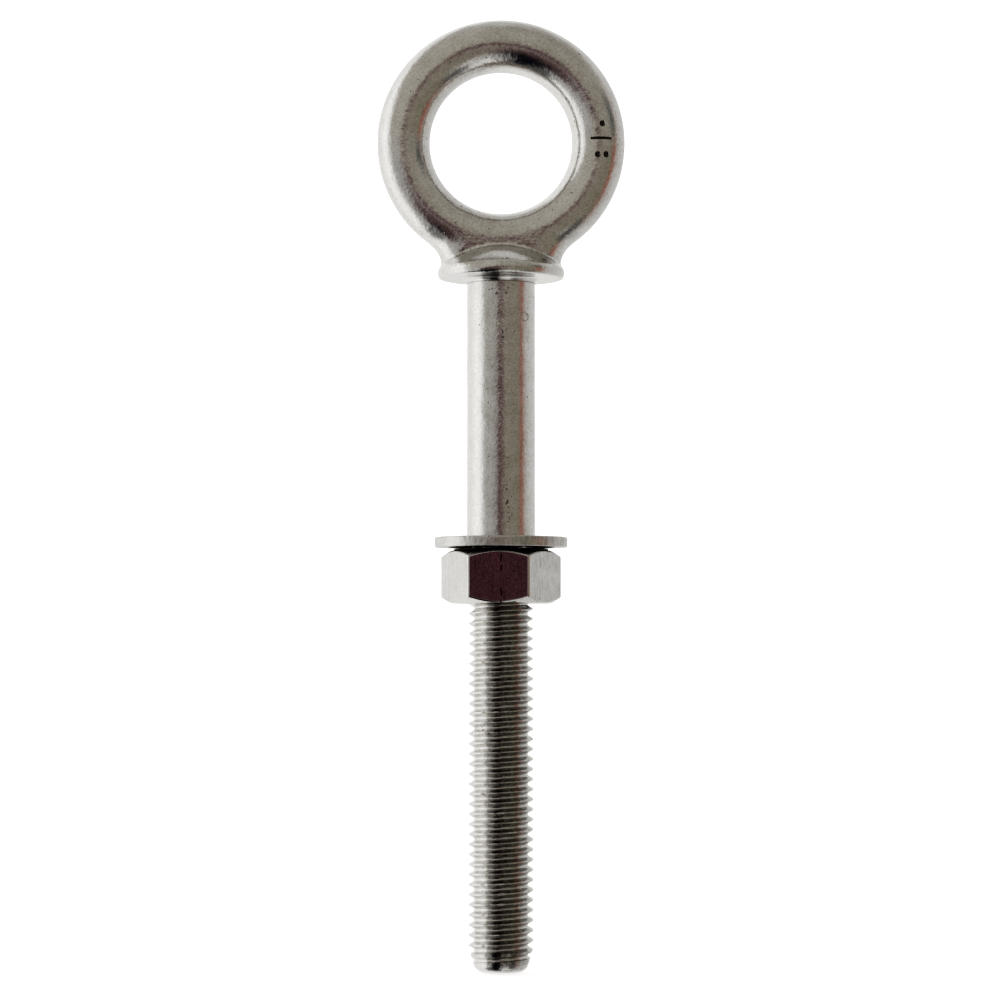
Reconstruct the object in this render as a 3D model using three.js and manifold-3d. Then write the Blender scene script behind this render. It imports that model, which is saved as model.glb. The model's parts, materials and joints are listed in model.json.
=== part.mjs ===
// Shouldered lifting eye bolt: one forging with an eye, a collar, a plain shank and a 1/2-13 UNC thread,
// with a flat washer and a hex nut run up to the top of the thread. Millimetres, +Z up through the eye.
// The origin is the centre of the collar's underside and the eye's ring lies in the XZ plane.
import * as THREE from 'three';
import { mergeVertices } from 'three/addons/utils/BufferGeometryUtils.js';
import Module from 'manifold-3d';

const wasm = await Module();
wasm.setup();

// Driving dimensions: the thread
const INCH = 25.4;
const THREADS_PER_INCH = 13;
const THREAD_MAJOR_RADIUS = 6.3;
const THREAD_PHASE_Z = -0.42; // height of a crest's middle at angle 0, before whole pitches are added
const THREAD_CLEARANCE = 0.15; // between the nut's thread and the bolt's, square to the surface
const THREAD_SEGMENTS = 20; // flat facets in one turn

// Driving dimensions: the eye
const EYE_OUTER_DIAMETER = 48.8;
const EYE_INNER_DIAMETER = 28.0;
const EYE_CENTRE_Z = 26.7;

// Driving dimensions: the collar, with a bulging rim and a domed top, and the posts that fill its corners
// with the eye
const RIM_RADIUS = 12.5;
const RIM_BULGE_RADIUS = 1.9;
const RIM_WIDEST_Z = 1.0;
const RIM_STEPS = 6;
const DOME_RADIUS = 18.4;
const DOME_CENTRE_Z = -11.66;
const DOME_STEPS = 6;
const POST_RADIUS = 4.9;
const POST_REACH = 11.75; // from the axis to the outside of a post
const POST_BOTTOM_Z = 1.0;
const POST_TOP_Z = 7.0;
const POST_SEGMENTS = 24;

// Driving dimensions: the shank
const SHANK_RADIUS = 6.7;
const SHANK_LENGTH = 2 * INCH;
const SHANK_FILLET = 1.1;
const SHANK_END_CHAMFER = 0.5;
const BOLT_END_Z = -135.5;
const END_TAPER_START_Z = -130.8;
const END_RADIUS = 4.95; // where the end's taper would meet the flat end
const END_ROUND = 2.0;

// Driving dimensions: the washer and the nut
const WASHER_OUTER_RADIUS = 13.05;
const WASHER_HOLE_RADIUS = 6.75;
const WASHER_THICKNESS = 2.0;
const WASHER_TOP_GAP = 0.1; // between the shank's end and the washer's top
const WASHER_EDGE = 0.25;
const NUT_ACROSS_FLATS = 20.5;
const NUT_HEIGHT = 10.7; // with the bearing face
const NUT_GAP = 0.3; // between the washer and the nut
const NUT_CHAMFER_ANGLE = THREE.MathUtils.degToRad(33);
const NUT_FACE_RADIUS = 9.9; // of the round face that the chamfer leaves at each end
const NUT_CORNER_ROUND = 0.65;
const NUT_BEARING_RADIUS = 9.3; // of the low round face that bears on the washer
const NUT_BEARING_HEIGHT = 0.35;
const NUT_COUNTERSINK = 0.9; // how much wider than the thread the bore's mouth is, in radius
const NUT_TURNED = THREE.MathUtils.degToRad(-2.75);

const ROUND_SEGMENTS = 48;
const EYE_SEGMENTS = 48;
const EYE_SECTION_SEGMENTS = 16;
const ARC_STEP = THREE.MathUtils.degToRad(22.5);

// Derived values
const PITCH = INCH / THREADS_PER_INCH;
const FLANK_TAN = Math.tan(THREE.MathUtils.degToRad(30));
const THREAD_DEPTH = 0.541 * PITCH;
const CREST_FLAT = PITCH / 8;
const EYE_SECTION_RADIUS = (EYE_OUTER_DIAMETER - EYE_INNER_DIAMETER) / 4;
const EYE_CENTRE_RADIUS = EYE_OUTER_DIAMETER / 2 - EYE_SECTION_RADIUS;
const SHANK_END_Z = -SHANK_LENGTH;
const WASHER_TOP_Z = SHANK_END_Z - WASHER_TOP_GAP;
const WASHER_BOTTOM_Z = WASHER_TOP_Z - WASHER_THICKNESS;
const NUT_TOP_Z = WASHER_BOTTOM_Z - NUT_GAP;
const NUT_BOTTOM_Z = NUT_TOP_Z - NUT_HEIGHT;
const NUT_HEX_TOP_Z = NUT_TOP_Z - NUT_BEARING_HEIGHT;

// A geometry with its shared vertices merged, as a solid that can be joined and cut
function solid(geometry) {
  const bare = geometry.clone();
  bare.deleteAttribute('normal');
  bare.deleteAttribute('uv');
  const merged = mergeVertices(bare, 1e-5);
  return new wasm.Manifold(new wasm.Mesh({
    numProp: 3,
    vertProperties: new Float32Array(merged.attributes.position.array),
    triVerts: new Uint32Array(merged.index.array),
  }));
}

// The solid back as a geometry with flat faces
function geometryOf(shape) {
  const { vertProperties, triVerts } = shape.getMesh();
  const geometry = new THREE.BufferGeometry();
  geometry.setAttribute('position', new THREE.BufferAttribute(vertProperties, 3));
  geometry.setIndex(new THREE.BufferAttribute(triVerts, 1));
  geometry.computeVertexNormals();
  return geometry;
}

// Points on an arc in the (radius, height) plane, both ends included
function arc(centreRadius, centreZ, radius, from, to, leastSteps = 2) {
  const steps = Math.max(leastSteps, Math.round(Math.abs(to - from) / ARC_STEP));
  return Array.from({ length: steps + 1 }, (_, i) => {
    const angle = from + (to - from) * i / steps;
    return [centreRadius + radius * Math.cos(angle), centreZ + radius * Math.sin(angle)];
  });
}

// A solid turned about Z from (radius, height) points that run upwards on the outside
function turned(points, segments = ROUND_SEGMENTS) {
  const geometry = new THREE.LatheGeometry(points.map(([r, z]) => new THREE.Vector2(r, z)), segments);
  geometry.rotateX(Math.PI / 2);
  return solid(geometry);
}

// One thread tooth from the axis of its root to the next: [height above the crest's middle, radius].
// A clearance grows the tooth by that much square to its surface, for cutting the nut.
function threadProfile(clearance) {
  const crest = THREAD_MAJOR_RADIUS + clearance;
  const root = crest - THREAD_DEPTH;
  const sideways = clearance / Math.cos(Math.PI / 6) - clearance * FLANK_TAN;
  const crestHalf = CREST_FLAT / 2 + sideways;
  const rootHalf = crestHalf + THREAD_DEPTH * FLANK_TAN;
  return [[-rootHalf, root], [-crestHalf, crest], [crestHalf, crest], [rootHalf, root]];
}

// A right-hand threaded rod between two heights at least, closed with a fan at each end.
// Its skin is one strip wound round the axis: after a turn, each row meets the row one pitch on.
function threadedRod(bottomZ, topZ, clearance) {
  const profile = threadProfile(clearance);
  const points = profile.length;
  const first = Math.floor((bottomZ - THREAD_PHASE_Z) / PITCH) - 1;
  const last = Math.ceil((topZ - THREAD_PHASE_Z) / PITCH) + 1;
  const rows = (last - first) * points;
  const positions = [];
  const vertex = (row, segment) => {
    const tooth = first + Math.floor(row / points);
    const [height, radius] = profile[row % points];
    const angle = 2 * Math.PI * segment / THREAD_SEGMENTS;
    const z = THREAD_PHASE_Z + PITCH * (tooth + segment / THREAD_SEGMENTS) + height;
    return [radius * Math.cos(angle), radius * Math.sin(angle), z];
  };
  const wrapped = (row, segment) => (segment < THREAD_SEGMENTS
    ? vertex(row, segment)
    : vertex(row + points, 0));
  const triangle = (a, b, c) => positions.push(...a, ...b, ...c);

  for (let segment = 0; segment < THREAD_SEGMENTS; segment += 1) {
    for (let row = 0; row < rows - 1; row += 1) {
      const [a, b] = [wrapped(row, segment), wrapped(row, segment + 1)];
      const [c, d] = [wrapped(row + 1, segment + 1), wrapped(row + 1, segment)];
      triangle(a, b, c);
      triangle(a, c, d);
    }
  }

  // Each end is a fan from the axis over the strip's open edge and the step between its two ends
  const end = (row, z, rising) => {
    const rim = [];
    for (let segment = 0; segment <= THREAD_SEGMENTS; segment += 1) {
      rim.push(wrapped(row, segment));
    }
    for (let step = points - 1; step > 0; step -= 1) {
      rim.push(vertex(row + step, 0));
    }
    rim.forEach((point, i) => {
      const next = rim[(i + 1) % rim.length];
      const hub = [0, 0, z];
      triangle(hub, rising ? point : next, rising ? next : point);
    });
  };
  end(0, THREAD_PHASE_Z + PITCH * (first - 1), false);
  end(rows - 1, THREAD_PHASE_Z + PITCH * (last + 1), true);

  const geometry = new THREE.BufferGeometry();
  geometry.setAttribute('position', new THREE.Float32BufferAttribute(positions, 3));
  return solid(geometry);
}

// The bolt's thread, cut to length with its tapered, rounded end
function boltThread() {
  const rod = threadedRod(BOLT_END_Z, SHANK_END_Z, 0);
  const outside = THREAD_MAJOR_RADIUS + 1;
  const topZ = SHANK_END_Z + SHANK_END_CHAMFER;
  const taper = Math.atan2(END_TAPER_START_Z - BOLT_END_Z, THREAD_MAJOR_RADIUS - END_RADIUS);
  const cornerToRound = END_ROUND * Math.tan((Math.PI / 2 - (Math.PI - 2 * taper) / 2) / 2);
  const roundCentre = [END_RADIUS - cornerToRound, BOLT_END_Z + END_ROUND];
  const envelope = turned([
    [0, BOLT_END_Z],
    ...arc(...roundCentre, END_ROUND, -Math.PI / 2, taper - Math.PI / 2),
    [THREAD_MAJOR_RADIUS, END_TAPER_START_Z],
    [outside, END_TAPER_START_Z + (outside - THREAD_MAJOR_RADIUS) * Math.tan(taper)],
    [outside, topZ],
    [0, topZ],
  ]);
  return rod.intersect(envelope);
}

// The collar and the plain shank, as one turned blank. The rim's bulge rises until it meets the dome.
function collarAndShank() {
  const rimCentre = RIM_RADIUS - RIM_BULGE_RADIUS;
  const rise = RIM_WIDEST_Z - DOME_CENTRE_Z;
  const apart = Math.hypot(rimCentre, rise);
  const beyond = DOME_RADIUS ** 2 - apart ** 2 - RIM_BULGE_RADIUS ** 2;
  const rimStart = -Math.asin(RIM_WIDEST_Z / RIM_BULGE_RADIUS);
  const rimEnd = Math.atan2(rise, rimCentre) - Math.acos(beyond / (2 * apart * RIM_BULGE_RADIUS));
  const rim = arc(rimCentre, RIM_WIDEST_Z, RIM_BULGE_RADIUS, rimStart, rimEnd, RIM_STEPS);
  const [meetingRadius, meetingZ] = rim.at(-1);
  const domeStart = Math.atan2(meetingZ - DOME_CENTRE_Z, meetingRadius);
  return turned([
    [0, SHANK_END_Z],
    [THREAD_MAJOR_RADIUS - THREAD_DEPTH, SHANK_END_Z],
    [SHANK_RADIUS, SHANK_END_Z + SHANK_END_CHAMFER],
    ...arc(SHANK_RADIUS + SHANK_FILLET, -SHANK_FILLET, SHANK_FILLET, Math.PI, Math.PI / 2),
    ...rim,
    ...arc(0, DOME_CENTRE_Z, DOME_RADIUS, domeStart, Math.PI / 2, DOME_STEPS).slice(1),
  ]);
}

function eyeRing() {
  const ring = new THREE.TorusGeometry(
    EYE_CENTRE_RADIUS,
    EYE_SECTION_RADIUS,
    EYE_SECTION_SEGMENTS,
    EYE_SEGMENTS,
  );
  ring.rotateX(Math.PI / 2);
  ring.translate(0, 0, EYE_CENTRE_Z);
  return solid(ring);
}

// One of the two round posts under the eye's ring, on the +X or the -X side
function cornerPost(side) {
  const height = POST_TOP_Z - POST_BOTTOM_Z;
  const post = new THREE.CylinderGeometry(POST_RADIUS, POST_RADIUS, height, POST_SEGMENTS);
  post.rotateX(Math.PI / 2);
  post.translate(side * (POST_REACH - POST_RADIUS), 0, POST_BOTTOM_Z + height / 2);
  return solid(post);
}

// Eye, collar, shank and thread are one forging
function forgedEyeBolt() {
  const head = collarAndShank().add(eyeRing()).add(cornerPost(1)).add(cornerPost(-1));
  return geometryOf(head.add(boltThread()));
}

function flatWasher() {
  return geometryOf(turned([
    [WASHER_HOLE_RADIUS, WASHER_BOTTOM_Z],
    [WASHER_OUTER_RADIUS - WASHER_EDGE, WASHER_BOTTOM_Z],
    [WASHER_OUTER_RADIUS, WASHER_BOTTOM_Z + WASHER_EDGE],
    [WASHER_OUTER_RADIUS, WASHER_TOP_Z - WASHER_EDGE],
    [WASHER_OUTER_RADIUS - WASHER_EDGE, WASHER_TOP_Z],
    [WASHER_HOLE_RADIUS, WASHER_TOP_Z],
    [WASHER_HOLE_RADIUS, WASHER_BOTTOM_Z],
  ]));
}

// A hexagonal bar with rounded corners, with a corner towards +X before it is turned
function hexBar() {
  const cornerRadius = NUT_ACROSS_FLATS / 2 / Math.cos(Math.PI / 6);
  const roundCentre = cornerRadius - NUT_CORNER_ROUND / Math.cos(Math.PI / 6);
  const outline = new THREE.Shape();
  for (let corner = 0; corner < 6; corner += 1) {
    const angle = corner * Math.PI / 3;
    const [x, y] = [roundCentre * Math.cos(angle), roundCentre * Math.sin(angle)];
    outline.absarc(x, y, NUT_CORNER_ROUND, angle - Math.PI / 6, angle + Math.PI / 6);
  }
  outline.closePath();
  const along = { depth: NUT_HEIGHT, bevelEnabled: false, curveSegments: 3 };
  const bar = new THREE.ExtrudeGeometry(outline, along);
  bar.rotateZ(NUT_TURNED);
  bar.translate(0, 0, NUT_BOTTOM_Z);
  return solid(bar);
}

function hexNut() {
  const outside = NUT_ACROSS_FLATS;
  const drop = (outside - NUT_FACE_RADIUS) * Math.tan(NUT_CHAMFER_ANGLE);
  const chamfered = turned([
    [0, NUT_BOTTOM_Z],
    [NUT_FACE_RADIUS, NUT_BOTTOM_Z],
    [outside, NUT_BOTTOM_Z + drop],
    [outside, NUT_HEX_TOP_Z - drop],
    [NUT_FACE_RADIUS, NUT_HEX_TOP_Z],
    [NUT_BEARING_RADIUS, NUT_HEX_TOP_Z],
    [NUT_BEARING_RADIUS, NUT_TOP_Z],
    [0, NUT_TOP_Z],
  ]);
  const boreRadius = THREAD_MAJOR_RADIUS + THREAD_CLEARANCE - THREAD_DEPTH;
  const mouthRadius = THREAD_MAJOR_RADIUS + NUT_COUNTERSINK;
  const over = 1;
  const countersink = (z, up) => {
    const inner = z - up * (mouthRadius - boreRadius + over);
    const outer = z + up * over;
    const mouth = mouthRadius + over;
    const profile = [[0, inner], [boreRadius - over, inner], [mouth, outer], [0, outer]];
    return turned(up > 0 ? profile : profile.reverse());
  };
  const blank = hexBar().intersect(chamfered);
  const tapped = blank.subtract(threadedRod(NUT_BOTTOM_Z - over, NUT_TOP_Z + over, THREAD_CLEARANCE));
  return geometryOf(tapped.subtract(countersink(NUT_TOP_Z, 1)).subtract(countersink(NUT_BOTTOM_Z, -1)));
}

function steel(colour, roughness) {
  return new THREE.MeshStandardMaterial({ color: colour, roughness, metalness: 1 });
}

function piece(name, geometry, material) {
  const mesh = new THREE.Mesh(geometry, material);
  mesh.name = name;
  return mesh;
}

const eyeBolt = new THREE.Group();
eyeBolt.add(
  piece('forged_eye_bolt', forgedEyeBolt(), steel(0xb9b6b0, 0.3)),
  piece('flat_washer', flatWasher(), steel(0xc4c3bf, 0.38)),
  piece('hex_nut', hexNut(), steel(0xbebbb6, 0.25)),
);

export default eyeBolt;
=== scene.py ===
import itertools
import json
import math

import bpy
import numpy as np
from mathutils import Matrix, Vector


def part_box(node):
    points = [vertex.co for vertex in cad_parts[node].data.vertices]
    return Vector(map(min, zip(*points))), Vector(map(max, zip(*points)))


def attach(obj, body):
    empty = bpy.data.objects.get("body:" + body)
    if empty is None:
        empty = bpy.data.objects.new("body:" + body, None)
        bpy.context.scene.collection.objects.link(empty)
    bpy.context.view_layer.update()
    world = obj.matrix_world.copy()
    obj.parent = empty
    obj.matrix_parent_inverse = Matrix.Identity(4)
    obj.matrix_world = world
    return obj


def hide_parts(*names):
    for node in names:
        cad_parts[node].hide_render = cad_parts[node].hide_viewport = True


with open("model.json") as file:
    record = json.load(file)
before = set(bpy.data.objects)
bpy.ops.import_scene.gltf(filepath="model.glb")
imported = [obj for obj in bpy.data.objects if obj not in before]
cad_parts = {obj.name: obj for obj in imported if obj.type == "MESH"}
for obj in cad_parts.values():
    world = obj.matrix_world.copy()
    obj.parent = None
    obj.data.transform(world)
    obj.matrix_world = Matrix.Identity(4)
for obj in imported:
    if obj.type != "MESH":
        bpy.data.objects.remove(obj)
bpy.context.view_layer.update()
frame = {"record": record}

MM = 0.001
SEED = 11


def node_box(name):
    """A CAD node's lowest and highest corners in millimetres."""
    low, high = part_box(name)
    return np.array(low) / MM, np.array(high) / MM


# From the frame, and two heights worked out from it
BOLT_LOW, BOLT_HIGH = node_box("forged_eye_bolt")
WASHER_LOW, WASHER_HIGH = node_box("flat_washer")
NUT_LOW, NUT_HIGH = node_box("hex_nut")
BOLT_END_Z = BOLT_LOW[2]
EYE_OUTER_RADIUS = BOLT_HIGH[0]
EYE_CENTRE_Z = BOLT_HIGH[2] - EYE_OUTER_RADIUS
RIM_RADIUS = BOLT_HIGH[1]
SHANK_END_Z = WASHER_HIGH[2] + 0.1
PITCH = frame["record"]["behaviour"]["couplings"][0]["ratio"] * 2 * math.pi / MM

# The forging
EYE_SECTION_RADIUS = 5.2
EYE_CENTRE_RADIUS = EYE_OUTER_RADIUS - EYE_SECTION_RADIUS
RIM_BULGE_RADIUS = 1.9
RIM_WIDEST_Z = 1.0
RIM_EDGE_ROUND = 0.3
COLLAR_BOTTOM_Z = -0.2
DOME_RADIUS = 18.4
DOME_CENTRE_Z = -11.66
WEB_REACH = 11.75
WEB_BOTTOM_Z = 1.2
WEB_TOP_Z = 14.0
WEB_BLEND = 2.8
HEAD_FILLET = 0.5
SHANK_RADIUS = 6.7
SHANK_FILLET = 1.1
SHANK_END_CHAMFER = 0.12
SHANK_SPARE = 1.0  # left below the shank's end until it is cut off
FLASH_HEIGHT = 0.07
FLASH_WIDTH = 0.55
FORGING_CELL = 0.44
SKIN_REACH = 0.02  # how near the field a face of the forged skin lies
SKIN_AGREEMENT = 0.9  # the least cosine between the way that face and the field face
LUMP_HEIGHT = 0.05
LUMP_SIZE = 6.0

# The struck mark on the front of the eye, by (x, z) places
MARK_BAR = ((17.5, 27.0), (21.6, 27.0))
MARK_BAR_WIDTH = 0.55
MARK_BAR_DEPTH = 0.32
MARK_DOTS = {"over": (19.9, 29.9), "left": (18.9, 23.8), "right": (20.7, 23.8)}
MARK_DOT_RADIUS = 0.72
MARK_DOT_DEPTH = 0.36
MARK_LEFT_EDGE = 16.5

# The thread
THREAD_MAJOR_RADIUS = 6.3
THREAD_DEPTH = 1.06
THREAD_PHASE_Z = -0.42
THREAD_ROOT_ROUND = 0.42
THREAD_CREST_HALF = PITCH / 16
THREAD_CREST_DROP = 0.08  # from the crest's flat top to its shoulders
THREAD_CREST_TOP = 0.75  # how far the flat top and the shoulders reach, as shares of the crest's half
THREAD_CREST_SHOULDER = 1.4
THREAD_DENT_DEPTH = 0.12
THREAD_DENT_SIZE = 1.1
THREAD_RIPPLE_HEIGHT = 0.015
THREAD_RIPPLE_SIZE = 0.7
THREAD_SEGMENTS = 96
THREAD_RUNOUT = 1.6
END_TAPER_START_Z = BOLT_END_Z + 4.7
END_RADIUS = 4.95
END_ROUND = 2.0
NUT_THREAD_CLEARANCE = 0.1

# The washer and the nut
WASHER_HOLE_RADIUS = 6.75
WASHER_HOLE_ROUND = 0.2
WASHER_HOLE_BREAK = 0.15
WASHER_FACE_START = 0.25  # from the hole to where the upper face is flat
WASHER_ROLL = 0.35
WASHER_BURR = 0.12
WASHER_SHEAR_DEPTH = 0.02
WASHER_SHEAR_SIZE = 0.45
WASHER_TEAR_DEPTH = 0.03
WASHER_TEAR_SIZE = 0.6
ACROSS_FLATS = 20.5
NUT_CORNER_ROUND = 0.65
NUT_CHAMFER = math.radians(33)
NUT_FACE_RADIUS = 9.9
NUT_BEARING_RADIUS = 9.3
NUT_BEARING_HEIGHT = 0.35
NUT_EDGE_ROUND = 0.28
NUT_TURNED = math.radians(-2.75)
NUT_MOUTH_RADIUS = 7.1


# Numbers ------------------------------------------------------------------------------------------

def hashed(lattice, seed):
    """A number from -1 to 1 for each whole-numbered point, the same for the same seed."""
    x, y, z = np.moveaxis(lattice, -1, 0)
    mixed = (x * 73856093) ^ (y * 19349663) ^ (z * 83492791) ^ (seed * 2654435761)
    mixed = (mixed ^ (mixed >> 13)) * 1274126177
    return ((mixed ^ (mixed >> 16)) & 0xFFFF) / 32767.5 - 1


def lumps(points, size, seed):
    """Smooth noise from -1 to 1 at each point, with features of about that size."""
    cell = points / size
    base = np.floor(cell).astype(np.int64)
    part = cell - base
    fade = part**3 * (part * (part * 6 - 15) + 10)
    total = np.zeros(points.shape[:-1])
    for corner in itertools.product((0, 1), repeat=3):
        weight = np.prod(np.where(corner, fade, 1 - fade), axis=-1)
        total += weight * hashed(base + corner, seed)
    return total


def smoothstep(low, high, value):
    part = np.clip((value - low) / (high - low), 0, 1)
    return part * part * (3 - 2 * part)


# Fields: distance to a surface, negative inside -----------------------------------------------------

def rounded_union(a, b, radius):
    """Two fields joined with a fillet of that radius in the corner between them."""
    near_a, near_b = np.maximum(radius - a, 0), np.maximum(radius - b, 0)
    return np.maximum(radius, np.minimum(a, b)) - np.hypot(near_a, near_b)


def soft_union(a, b, reach):
    """Two fields joined, with a small blend wherever they are within that reach of each other."""
    near = np.maximum(reach - np.abs(a - b), 0)
    return np.minimum(a, b) - near**2 / (4 * reach)


def rounded_overlap(a, b, radius):
    """What two fields share, with the edge between them rounded to that radius."""
    near_a, near_b = np.maximum(radius + a, 0), np.maximum(radius + b, 0)
    return np.minimum(-radius, np.maximum(a, b)) + np.hypot(near_a, near_b)


def collar(radius, z):
    """A disc with a domed top and a bulging rim."""
    above = z - RIM_WIDEST_Z
    bulge = radius - RIM_RADIUS + above**2 / (2 * RIM_BULGE_RADIUS)
    bulge = bulge / np.hypot(1, above / RIM_BULGE_RADIUS)
    dome = np.hypot(radius, z - DOME_CENTRE_Z) - DOME_RADIUS
    return rounded_overlap(rounded_overlap(bulge, dome, RIM_EDGE_ROUND), COLLAR_BOTTOM_Z - z, RIM_EDGE_ROUND)


def head(x, y, z):
    """The eye's ring and the web below it, which has round sides and flat faces."""
    from_centre = np.hypot(x, z - EYE_CENTRE_Z)
    eye = np.hypot(from_centre - EYE_CENTRE_RADIUS, y) - EYE_SECTION_RADIUS
    block = np.maximum(np.abs(x) - WEB_REACH, np.maximum(WEB_BOTTOM_Z - z, z - WEB_TOP_Z))
    outline = soft_union(from_centre - EYE_OUTER_RADIUS, block, WEB_BLEND)
    web = np.hypot(np.maximum(outline + EYE_SECTION_RADIUS, 0), y) - EYE_SECTION_RADIUS
    return np.minimum(eye, np.maximum(web, EYE_CENTRE_RADIUS - from_centre))


def forging_blank(points):
    """The eye, collar and shank, without the marks of forging."""
    x, y, z = np.moveaxis(points, -1, 0)
    radius = np.hypot(x, y)
    blank = rounded_union(collar(radius, z), head(x, y, z), HEAD_FILLET)
    blank = rounded_union(blank, np.maximum(radius - SHANK_RADIUS, z - 1), SHANK_FILLET)
    return np.maximum(blank, SHANK_END_Z - SHANK_SPARE - z)


def forging(points):
    """The blank with the low waves of forging, and the trimmed flash inside the eye."""
    x, y, z = np.moveaxis(points, -1, 0)
    from_centre = np.hypot(x, z - EYE_CENTRE_Z)
    inner = smoothstep(EYE_CENTRE_RADIUS, EYE_CENTRE_RADIUS - EYE_SECTION_RADIUS, from_centre)
    flash = FLASH_HEIGHT * np.exp(-((y / FLASH_WIDTH) ** 2)) * inner * smoothstep(0, 8, x)
    waves = LUMP_HEIGHT * (lumps(points, LUMP_SIZE, SEED) - 1) / 2
    return forging_blank(points) - flash - waves


def gradient(field, points, step=0.02):
    """Which way, and how fast, a field grows at each point."""
    shifts = np.eye(3) * step
    return np.stack([(field(points + s) - field(points - s)) / (2 * step) for s in shifts], axis=-1)


def onto_surface(field, points, rounds=4):
    """The points, moved along the field's slope until they lie on its surface."""
    for _ in range(rounds):
        slope = gradient(field, points)
        points = points - slope * (field(points) / (slope**2).sum(-1))[:, None]
    return points


def net(field, low, high, cell):
    """Points and four-sided faces of a closed net around what lies inside a field."""
    axes = [np.arange(a - 2 * cell, b + 2 * cell, cell) for a, b in zip(low, high)]
    values = field(np.stack(np.meshgrid(*axes, indexing="ij"), axis=-1))
    inside = values < 0
    unit = np.eye(3, dtype=int)
    quads, crossings = [], []
    for axis in range(3):
        along, b, c = unit[axis], unit[(axis + 1) % 3], unit[(axis + 2) % 3]
        start = np.argwhere(np.diff(inside, axis=axis))
        first, second = values[tuple(start.T)], values[tuple((start + along).T)]
        quad = np.stack([start, start - b, start - b - c, start - c], axis=1)
        leaving = first < second
        quad[~leaving] = quad[~leaving][:, ::-1]
        quads.append(quad)
        crossings.append(start + along * (first / (first - second))[:, None])
    quads, crossings = np.concatenate(quads), np.concatenate(crossings)
    ids = np.ravel_multi_index(tuple(np.moveaxis(quads, -1, 0)), values.shape)
    _, faces = np.unique(ids, return_inverse=True)
    faces = faces.reshape(-1, 4)
    count = np.bincount(faces.ravel())
    spread = np.repeat(crossings, 4, axis=0)
    points = np.stack([np.bincount(faces.ravel(), weights=spread[:, k]) / count for k in range(3)], axis=-1)
    return np.array([a[0] for a in axes]) + points * cell, faces


# Meshes -------------------------------------------------------------------------------------------

def make_piece(name, points, faces):
    """An object of a closed mesh given in millimetres, whose faces already point outwards."""
    mesh = bpy.data.meshes.new(name)
    mesh.from_pydata((np.asarray(points) * MM).tolist(), [], [list(map(int, f)) for f in faces])
    mesh.update()
    piece = bpy.data.objects.new(name, mesh)
    bpy.context.scene.collection.objects.link(piece)
    return piece


def loft(rings, ends="closed"):
    """Points and faces of a skin over rings of points, counter-clockwise about the way they are stacked.
    Its ends are closed with one flat face each, or joined to each other, as on a washer."""
    rings = np.asarray(rings)
    count, around = rings.shape[:2]
    index = np.arange(count * around).reshape(count, around)
    if ends == "joined":
        index = np.vstack([index, index[:1]])
    lower, upper = index[:-1], index[1:]
    quads = np.stack([lower, np.roll(lower, -1, 1), np.roll(upper, -1, 1), upper], axis=-1).reshape(-1, 4)
    faces = quads.tolist()
    if ends == "closed":
        faces += [index[0, ::-1].tolist(), index[-1].tolist()]
    return rings.reshape(-1, 3), faces


def turned(profile, segments):
    """Rings round the Z axis through (radius, height) points, in their order."""
    angle = np.linspace(0, 2 * math.pi, segments, endpoint=False)
    circle = np.stack([np.cos(angle), np.sin(angle)], -1)
    return np.array([np.column_stack([radius * circle, np.full(segments, z)]) for radius, z in profile])


def arc(centre_radius, centre_z, radius, start, end, steps=6):
    """(radius, height) points on an arc between two angles in degrees."""
    angles = np.radians(np.linspace(start, end, steps + 1))
    return [(centre_radius + radius * math.cos(a), centre_z + radius * math.sin(a)) for a in angles]


def combine(piece, other, operation):
    """Joins, cuts or overlaps a piece with another, which is used up."""
    change = piece.modifiers.new("boolean", "BOOLEAN")
    change.operation, change.object, change.solver = operation, other, "MANIFOLD"
    bpy.context.view_layer.update()
    evaluated = piece.evaluated_get(bpy.context.evaluated_depsgraph_get())
    mesh = bpy.data.meshes.new_from_object(evaluated)
    piece.modifiers.clear()
    old, piece.data = piece.data, mesh
    mesh.name = piece.name
    bpy.data.meshes.remove(old)
    bpy.data.objects.remove(other)
    return piece


def smooth(piece, angle=35):
    """Smooth shading, with edges sharper than an angle in degrees kept crisp."""
    piece.data.shade_smooth()
    piece.data.set_sharp_from_angle(angle=math.radians(angle))


def keep_flats_flat(piece):
    """Lets the larger faces decide the shading at an edge, so that a flat looks flat up to its rounding."""
    weighting = piece.modifiers.new("flat_faces", "WEIGHTED_NORMAL")
    weighting.keep_sharp = True
    weighting.weight = 100


# The thread ---------------------------------------------------------------------------------------

def thread_profile(clearance):
    """(height above the crest's middle, depth below the crest) over one pitch, from crest to crest."""
    half = THREAD_CREST_HALF + clearance / math.sqrt(3)
    top, shoulder = half * THREAD_CREST_TOP, half * THREAD_CREST_SHOULDER
    crest = [(-shoulder, THREAD_CREST_DROP), (-top, 0), (top, 0), (shoulder, THREAD_CREST_DROP)]
    centre_depth = THREAD_DEPTH - THREAD_ROOT_ROUND
    root = [
        (PITCH / 2 + THREAD_ROOT_ROUND * math.sin(a), centre_depth + THREAD_ROOT_ROUND * math.cos(a))
        for a in np.radians(np.linspace(-60, 60, 7))
    ]
    return np.array(crest + root)


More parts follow.
